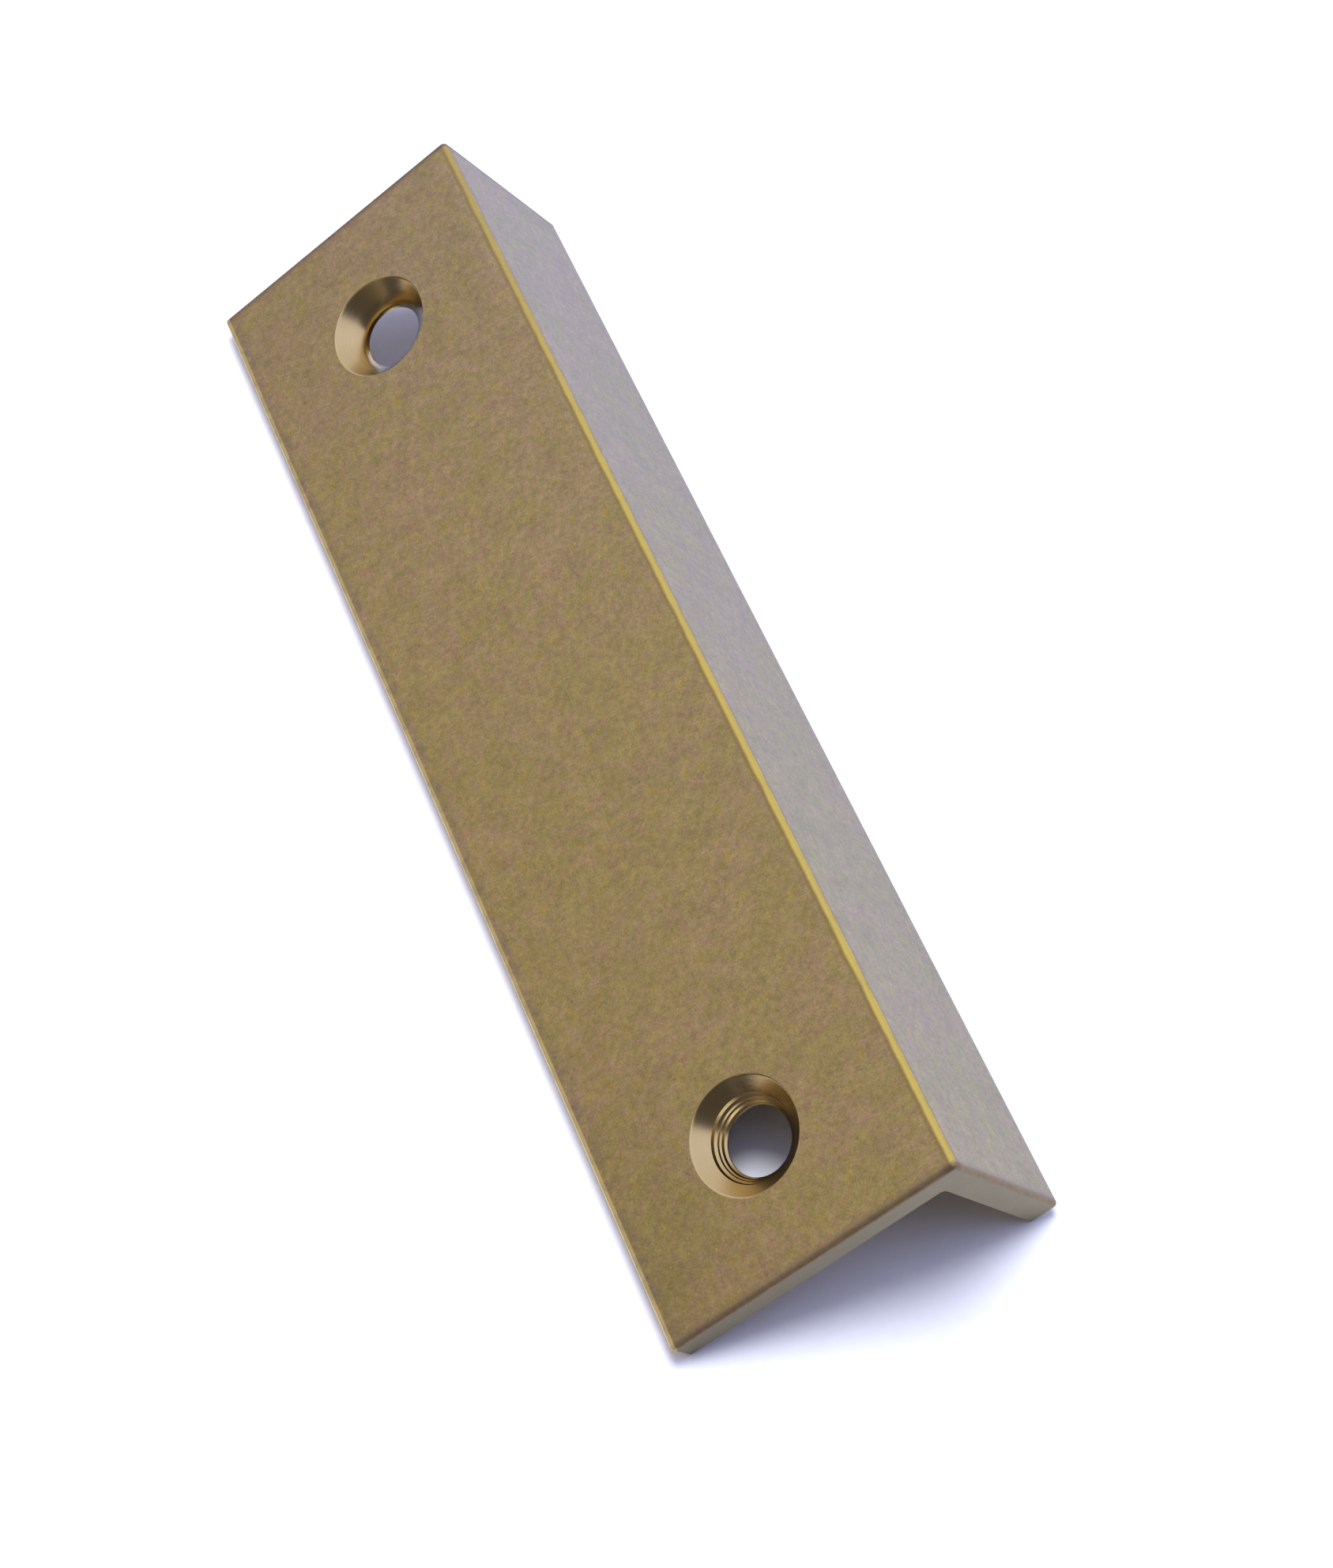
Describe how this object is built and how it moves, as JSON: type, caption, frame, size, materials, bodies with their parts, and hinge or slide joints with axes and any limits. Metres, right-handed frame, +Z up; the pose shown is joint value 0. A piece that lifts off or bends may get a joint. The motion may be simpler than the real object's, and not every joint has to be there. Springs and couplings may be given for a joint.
{
  "type": "kick plate",
  "caption": "Short length of unequal brass angle with countersunk screw holes in its wide leg, which wraps and protects the edge of a door, step or frame.",
  "frame": {"origin": "middle of the plate's length and width, on the surface that the free edges of its two legs stand on", "axes": "+Z up to the ridge, +Y along the length from the front hole to the back hole, and -X the side to which the wide leg with the screw holes slopes down"},
  "size_m": [0.023, 0.0774, 0.0117],
  "materials": {
    "brass": "satin, drawn surface with light tarnish"
  },
  "bodies": {
    "root": {"angle_plate": "brass"}
  },
  "joints": []
}
